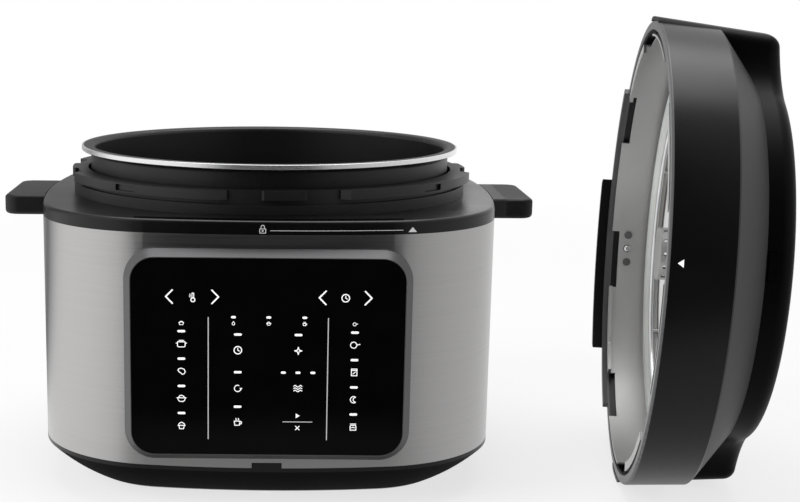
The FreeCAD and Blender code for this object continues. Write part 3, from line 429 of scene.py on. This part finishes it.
def bare_metal(name, colour, roughness):
    """Cast or turned metal with soft handling marks."""
    m = Nodes(name)
    m.set(Metallic=1.0)
    cloud = m.noise(HANDLED_CELLS)
    m.link(m.mottle(cloud, colour, 0.88, 1.06), "Base Color")
    m.link(m.between(cloud, roughness * 0.8, roughness * 1.3), "Roughness")
    m.bump(m.noise(TURNED_CELLS), 0.05, TURNED_DEPTH)
    return m.material


def coated_pot():
    """Dark non-stick coat with faint speckle, and a bare metal lip."""
    m = Nodes("coated_pot")
    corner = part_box("inner_pot")[1]
    x, y, z = m.add("ShaderNodeSeparateXYZ", {0: m.place()}).outputs
    flat = m.add("ShaderNodeCombineXYZ", {0: x, 1: y}).outputs[0]
    radius = m.add("ShaderNodeVectorMath", {0: flat}, operation="LENGTH").outputs["Value"]
    inner, under = corner.x - LIP_WIDTH, corner.z - LIP_DEPTH
    outside = m.between(radius, 0.0, 1.0, inner, inner + LIP_BLEND)
    lip = m.math("MULTIPLY", outside, m.between(z, 0.0, 1.0, under, under + LIP_BLEND))
    speckle = m.noise(SPECKLE_CELLS, detail=1.0)
    coat = m.blend(m.between(speckle, 0.0, 1.0, *SPECKLE_CONTRAST), COAT_COLOUR, SPECKLE_COLOUR)
    m.link(m.blend(lip, coat, LIP_COLOUR), "Base Color")
    m.link(m.math("MULTIPLY", lip, 0.9), "Metallic")
    m.link(m.between(lip, 0.42, 0.25, 0.0, 1.0), "Roughness")
    m.bump(m.math("MULTIPLY", speckle, m.between(lip, 1.0, 0.0, 0.0, 1.0)), 0.08, SPECKLE_DEPTH)
    return m.material


def black_glass():
    """Black panel glass, almost without haze."""
    m = Nodes("panel_glass")
    haze = m.noise(HAZE_CELLS)
    m.link(m.blend(m.between(haze, 0.0, 1.0), *HAZE_COLOURS), "Base Color")
    m.link(m.between(haze, 0.07, 0.11), "Roughness")
    m.set(Specular_IOR_Level=0.08)
    return m.material


def printed_glowing(name, colour):
    """Screen print with a slightly uneven film, which also glows faintly in its own colour: painted light."""
    m = Nodes(name)
    film = m.noise(FILM_CELLS)
    tint = m.mottle(film, colour, 0.94, 1.0)
    m.link(tint, "Base Color")
    m.link(tint, "Emission Color")
    m.link(m.between(film, 0.45, 0.6), "Roughness")
    # Painted light: the print glows in its own colour, so it reads brighter than the lamps alone make it.
    m.set(Emission_Strength=0.35)
    return m.material


def circuit_board():
    """Green lacquer over copper tracks."""
    m = Nodes("board_green")
    tracks = m.add("ShaderNodeTexBrick", {"Vector": m.place((TRACK_CELLS,) * 3), "Scale": 1.0}).outputs["Fac"]
    m.link(m.blend(tracks, (0.010, 0.055, 0.022), (0.035, 0.12, 0.045)), "Base Color")
    m.link(m.between(m.noise(LACQUER_CELLS), 0.25, 0.4), "Roughness")
    return m.material


def make_materials():
    """Every finish by name, each with its colour and roughness."""
    black = (0.0024, 0.0024, 0.0026)
    crown = (0.0018, 0.0018, 0.0020)
    return {
        "black_plastic": moulded("black_plastic", black, 0.28, Specular_IOR_Level=0.38),
        "rim_highlit_black": moulded("rim_highlit_black", black, 0.28, rim=lid_rim_highlight_mask, Specular_IOR_Level=0.38),
        "matt_black": moulded("matt_black", black, 0.55, Specular_IOR_Level=0.15),
        "satin_black": moulded("satin_black", (0.0070, 0.0070, 0.0074), 0.40, Specular_IOR_Level=0.28),
        "collar_black": moulded("collar_black", (0.0090, 0.0090, 0.0094), 0.40, Specular_IOR_Level=0.50),
        "gloss_black": moulded("gloss_black", crown, 0.36, grain=0.03, Specular_IOR_Level=0.07),
        "grey_plastic": moulded("grey_plastic", (0.034, 0.034, 0.036), 0.46, Specular_IOR_Level=0.35),
        "bezel_grey": moulded("bezel_grey", (0.097, 0.097, 0.100), 0.38, Metallic=0.5),
        "rubber": moulded("rubber", (0.016, 0.016, 0.016), 0.7, grain=0.4),
        "silicone": moulded("silicone", (0.62, 0.62, 0.60), 0.55, grain=0.1, Subsurface_Weight=0.15),
        "brushed_steel": brushed("brushed_steel", (0.52, 0.512, 0.51), 0.30),
        "pressed_steel": pressed("pressed_steel", (0.68, 0.68, 0.675), 0.36),
        "aluminium": bare_metal("aluminium", (0.66, 0.66, 0.67), 0.38),
        "chrome": bare_metal("chrome", (0.74, 0.74, 0.75), 0.13),
        "screw_steel": bare_metal("screw_steel", (0.55, 0.55, 0.56), 0.26),
        "rivet_steel": bare_metal("rivet_steel", (0.20, 0.20, 0.205), 0.30),
        "coated_pot": coated_pot(),
        "panel_glass": black_glass(),
        "board_green": circuit_board(),
        "print_white_glowing": printed_glowing("print_white_glowing", (0.86, 0.86, 0.86)),
        "print_grey_glowing": printed_glowing("print_grey_glowing", (0.42, 0.42, 0.42)),
    }


def dress_nodes(materials):
    """Every solid gets its own finish, or else the one that the record names for it."""
    for part in frame["record"]["subparts"]:
        finish = OWN_FINISH.get(part["node"], part["material_slot"])
        mesh = nodes[part["node"]].data
        mesh.materials.clear()
        mesh.materials.append(materials[finish])


def add_object(name, data):
    thing = bpy.data.objects.new(name, data)
    bpy.context.scene.collection.objects.link(thing)
    return thing


def to_mesh(name, form):
    mesh = bpy.data.meshes.new(name)
    form.to_mesh(mesh)
    form.free()
    return mesh


def shorten_springs():
    """Each of the two coil springs is copied onto the body that holds it, in place of its own part."""
    for name, body, joint in SPRINGS:
        coil = add_object(name + "_coil", nodes[name].data.copy())
        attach(coil, body)
        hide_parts(name)
        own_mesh(coil)


class Ink:
    """Collects flat marks on a surface, which is a function of millimetres across and up, and metres out."""

    def __init__(self, surface):
        self.surface = surface
        self.form = bmesh.new()

    def fill(self, points):
        """A filled outline."""
        front = [self.form.verts.new(self.surface(x, z, INK_T - INK_SINK)) for x, z in points]
        back = [self.form.verts.new(self.surface(x, z, -INK_SINK)) for x, z in points]
        self.form.faces.new(front)
        self.form.faces.new(back[::-1])
        for i in range(len(points)):
            j = (i + 1) % len(points)
            self.form.faces.new((front[i], back[i], back[j], front[j]))

    def stroke(self, points, width):
        """A line of even width through the points, with round ends."""
        for (x0, z0), (x1, z1) in zip(points, points[1:]):
            turn = math.atan2(z1 - z0, x1 - x0)
            outline = []
            for x, z, start in ((x1, z1, -90), (x0, z0, 90)):
                for step in range(END_STEPS + 1):
                    angle = turn + math.radians(start + 180 * step / END_STEPS)
                    outline.append((x + width / 2 * math.cos(angle), z + width / 2 * math.sin(angle)))
            self.fill(outline)

    def ring(self, x, z, radius, width, start=0.0, end=360.0, steps=RING_STEPS):
        """A ring, or a bow of it from start to end in degrees."""
        angles = [math.radians(start + (end - start) * i / steps) for i in range(steps + 1)]
        inner, outer = radius - width / 2, radius + width / 2
        for a, b in zip(angles, angles[1:]):
            quad = [(inner, a), (outer, a), (outer, b), (inner, b)]
            self.fill([(x + r * math.cos(t), z + r * math.sin(t)) for r, t in quad])

    def finish(self, name, body, slot, material):
        bmesh.ops.recalc_face_normals(self.form, faces=self.form.faces)
        mesh = to_mesh(name, self.form)
        mesh.materials.append(material)
        piece = add_object(name, mesh)
        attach(piece, body)


def panel_surface():
    """Places on the panel glass, from its middle."""
    low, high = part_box("panel_glass")
    middle = (low + high) / 2

    def place(x, z, height):
        return Vector((middle.x + x * MM, low.y - height, middle.z + z * MM))

    return place


def symbol(ink, x, z, name, scale=1.0):
    """A symbol with its middle at (x, z)."""
    thinner = math.sqrt(scale)
    for line in SYMBOL_LINES.get(name, ()):
        points = [(x + dx * scale, z + dz * scale) for dx, dz in line]
        ink.stroke(points, FINE_LINES.get(name, SYMBOL_LINE) * thinner)
    for dx, dz, radius, width, start, end in SYMBOL_RINGS.get(name, ()):
        ink.ring(x + dx * scale, z + dz * scale, radius * scale, width * thinner, start, end)
    for outline in SYMBOL_FILLS.get(name, ()):
        ink.fill([(x + dx * scale, z + dz * scale) for dx, dz in outline])


def panel_marks(materials):
    """Arrows, bars and symbols in white, and thin rules in grey."""
    ink = Ink(panel_surface())
    wide, high = ARROW_HALF
    for x, way in ARROWS:
        tip, tail = x - wide * way, x + wide * way
        ink.stroke([(tail, ARROW_UP + high), (tip, ARROW_UP), (tail, ARROW_UP - high)], ARROW_LINE)
    for length, places in BARS:
        half = (length - BAR_LINE) / 2
        for x, z in places:
            ink.stroke([(x - half, z), (x + half, z)], BAR_LINE)
    for x, z, name in KEY_SYMBOLS:
        symbol(ink, x, z, name)
    for x, z, name in STATUS_SYMBOLS:
        symbol(ink, x, z, name, STATUS_SCALE)
    ink.finish("panel_marks", "base", "panel_glass", materials["print_white_glowing"])
    rules = Ink(panel_surface())
    for start, end, width in RULES:
        rules.stroke([start, end], width)
    rules.finish("panel_rules", "base", "panel_glass", materials["print_grey_glowing"])


def plate_surface():
    """Places on the bowed front edge of the top plate, from the middle of its lower edge."""
    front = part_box("top_plate")[0].y
    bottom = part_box("outer_shell")[1].z

    def place(x, z, height):
        back = FRONT_BOW_R - math.sqrt(FRONT_BOW_R**2 - x**2)
        return Vector((x * MM, front + back * MM - height, bottom + z * MM))

    return place


def plate_marks(materials):
    """A padlock, a line and a triangle, which say which way the lid turns to lock."""
    ink = Ink(plate_surface())
    x, z = PADLOCK_PLACE
    wide, high = PADLOCK_HALF
    body = [(x - wide, z - high), (x + wide, z - high), (x + wide, z + high), (x - wide, z + high)]
    ink.stroke(body + body[:1], PADLOCK_LINE)
    foot, bend = z + high, z + high + SHACKLE_RISE
    for side in (x - SHACKLE_R, x + SHACKLE_R):
        ink.stroke([(side, foot), (side, bend)], PADLOCK_LINE)
    ink.ring(x, bend, SHACKLE_R, PADLOCK_LINE, 0.0, 180.0, SMALL_RING_STEPS)
    ink.ring(x, z, KEYHOLE_R, PADLOCK_LINE, steps=SMALL_RING_STEPS)
    ink.stroke([(GUIDE_START + GUIDE_STEP * i, GUIDE_UP) for i in range(GUIDE_STEPS + 1)], GUIDE_LINE)
    ink.fill(PLATE_TRIANGLE)
    ink.finish("plate_marks", "base", "black_plastic", materials["print_grey_glowing"])


def lid_surface():
    """Places on the lid's band, round from its front and up from its rim."""
    centre, up, front = lid_axes()
    across = up.cross(front)

    def place(x, z, height):
        radius = (LID_R - LID_TAPER * (z - LID_EDGE)) * MM + height
        angle = x / LID_R
        return centre + up * (z * MM) + (front * math.cos(angle) + across * math.sin(angle)) * radius

    return place


def lid_marks(materials):
    """The triangle that lines the lid up with the marks on the top plate."""
    ink = Ink(lid_surface())
    ink.fill(LID_TRIANGLE)
    ink.finish("lid_mark", "lid", "black_plastic", materials["print_white_glowing"])


def aim_camera():
    camera = add_object("camera", bpy.data.cameras.new("camera"))
    camera.data.sensor_width = SENSOR
    camera.data.sensor_fit = "HORIZONTAL"
    camera.data.lens = FOCAL_PIXELS / IMAGE_WIDTH * SENSOR
    camera.data.shift_x, camera.data.shift_y = CAMERA_SHIFT
    camera.data.clip_end = CAMERA_REACH
    look = Matrix.Rotation(math.radians(90.0 - CAMERA_DOWN), 4, "X")
    roll = Matrix.Rotation(math.radians(CAMERA_ROLL), 4, "Z")
    camera.matrix_world = Matrix.Translation(CAMERA_PLACE) @ look @ roll
    bpy.context.scene.camera = camera


def seen_or_mirrored(tree):
    """1 for what the camera sees, directly, in a mirror or through glass."""
    path = tree.nodes.new("ShaderNodeLightPath")
    total = path.outputs["Is Camera Ray"]
    for name in ("Is Glossy Ray", "Is Transmission Ray"):
        both = tree.nodes.new("ShaderNodeMath")
        both.operation = "MAXIMUM"
        tree.links.new(total, both.inputs[0])
        tree.links.new(path.outputs[name], both.inputs[1])
        total = both.outputs[0]
    return total


def light_world():
    """White where it is seen, and an even, weaker light on the object."""
    world = bpy.data.worlds.new("world")
    bpy.context.scene.world = world
    world.use_nodes = True
    tree = world.node_tree
    strength = tree.nodes.new("ShaderNodeMapRange")
    tree.links.new(seen_or_mirrored(tree), strength.inputs["Value"])
    strength.inputs["To Min"].default_value = AMBIENT
    strength.inputs["To Max"].default_value = 1.0
    background = tree.nodes["Background"]
    background.inputs["Color"].default_value = WHITE
    tree.links.new(strength.outputs[0], background.inputs["Strength"])


def disc(name, radius, steps, height=0.0):
    form = bmesh.new()
    bmesh.ops.create_circle(form, cap_ends=True, segments=steps, radius=radius)
    bmesh.ops.translate(form, verts=form.verts, vec=(0.0, 0.0, height))
    return to_mesh(name, form)


def lay_floor():
    """A pale floor that keeps part of the object's shadow and fades to white."""
    mesh = disc("floor", FLOOR_RADIUS, FLOOR_STEPS)
    m = Nodes("floor")
    m.set(Base_Color=FLOOR_COLOUR, Roughness=0.9, Specular_IOR_Level=0.1)
    white = m.between(m.distance(), 1.0 - SHADOW_KEPT, 1.0, *SHADOW_FADE)
    factor = m.math("MULTIPLY", white, seen_or_mirrored(m.tree))
    glow = m.add("ShaderNodeEmission", {"Color": WHITE, "Strength": 1.0})
    mix = m.add("ShaderNodeMixShader", {0: factor, 1: m.shader.outputs[0], 2: glow.outputs[0]})
    m.tree.links.new(mix.outputs[0], m.tree.nodes["Material Output"].inputs["Surface"])
    mesh.materials.append(m.material)
    floor = add_object("floor", mesh)


def light_studio():
    for name, place, size, power, mirrored in LAMPS:
        lamp = add_object(name, bpy.data.lights.new(name, "AREA"))
        lamp.data.shape = "RECTANGLE"
        lamp.data.size, lamp.data.size_y = size
        lamp.data.energy = power
        lamp.location = place
        lamp.rotation_euler = (Vector(LAMP_TARGET) - Vector(place)).to_track_quat("-Z", "Y").to_euler()
        lamp.visible_glossy = mirrored


def for_mirrors_only(mesh, colour_of):
    """A surface of the studio that only mirrors see."""
    m = Nodes(mesh.name)
    m.set(Base_Color=BLACK, Specular_IOR_Level=0.0, Emission_Strength=1.0)
    colour_of(m)
    mesh.materials.append(m.material)
    surface = add_object(mesh.name, mesh)
    surface.visible_camera = False
    surface.visible_diffuse = False
    surface.visible_shadow = False
    surface.visible_transmission = False


def tent_grey(m):
    """The grey of the tent's wall by its angle round from the front."""
    x, y = m.add("ShaderNodeSeparateXYZ", {0: m.place()}).outputs[:2]
    angle = m.math("ARCTAN2", x, m.math("MULTIPLY", y, -1.0))
    ramp = m.add("ShaderNodeValToRGB", {0: m.between(angle, 0.0, 1.0, -math.pi, math.pi)})
    stops = ramp.color_ramp.elements
    for degrees, _ in TENT_GREYS[1:-1]:
        stops.new((degrees + 180.0) / 360.0)
    for stop, (_, grey) in zip(stops, TENT_GREYS):
        stop.color = (grey, grey, grey, 1.0)
    near = m.between(m.distance(), NEAR_GREY, 0.0, *NEAR_FADE)
    m.link(m.math("MAXIMUM", ramp.outputs["Color"], near), "Emission Color")


# Painted shadow: the dark grey that mirrors see under the object, where the floor lies in shade.
def under_shadow_grey(m):
    m.set(Emission_Color=UNDER_SHADOW_COLOUR)


def pitch_tent():
    """A round studio tent: bright at the left, dark in front, grey at the right, with a dark disc under the
    object as painted shadow.
    """
    form = bmesh.new()
    angles = [math.tau * i / TENT_STEPS for i in range(TENT_STEPS)]
    rings = []
    for radius, height in TENT_PROFILE:
        rings.append([form.verts.new((radius * math.sin(a), -radius * math.cos(a), height)) for a in angles])
    for lower, upper in zip(rings, rings[1:]):
        for i in range(TENT_STEPS):
            j = (i + 1) % TENT_STEPS
            form.faces.new((lower[i], lower[j], upper[j], upper[i]))
    for_mirrors_only(to_mesh("studio_tent", form), tent_grey)
    radius, height = TENT_PROFILE[0]
    for_mirrors_only(disc("under_base_shadow", radius, UNDER_STEPS, height), under_shadow_grey)


def reflector_grey(m):
    """The grey of the reflector, lighter towards the back."""
    back = m.add("ShaderNodeSeparateXYZ", {0: m.place()}).outputs[1]
    m.link(m.between(back, *REFLECTOR_GREYS, *REFLECTOR_RISE), "Emission Color")


def place_reflector():
    """A grey board between the base and the lid, so that neither mirrors the other."""
    form = bmesh.new()
    front, back = REFLECTOR_Y
    corners = ((front, 0.0), (back, 0.0), (back, REFLECTOR_TOP), (front, REFLECTOR_TOP))
    form.faces.new([form.verts.new((REFLECTOR_X, y, z)) for y, z in corners])
    for_mirrors_only(to_mesh("reflector", form), reflector_grey)


def main():
    bpy.context.scene.view_settings.view_transform = "Standard"
    materials = make_materials()
    dress_nodes(materials)
    shorten_springs()
    panel_marks(materials)
    plate_marks(materials)
    lid_marks(materials)
    lay_floor()
    light_world()
    light_studio()
    pitch_tent()
    place_reflector()
    aim_camera()


main()
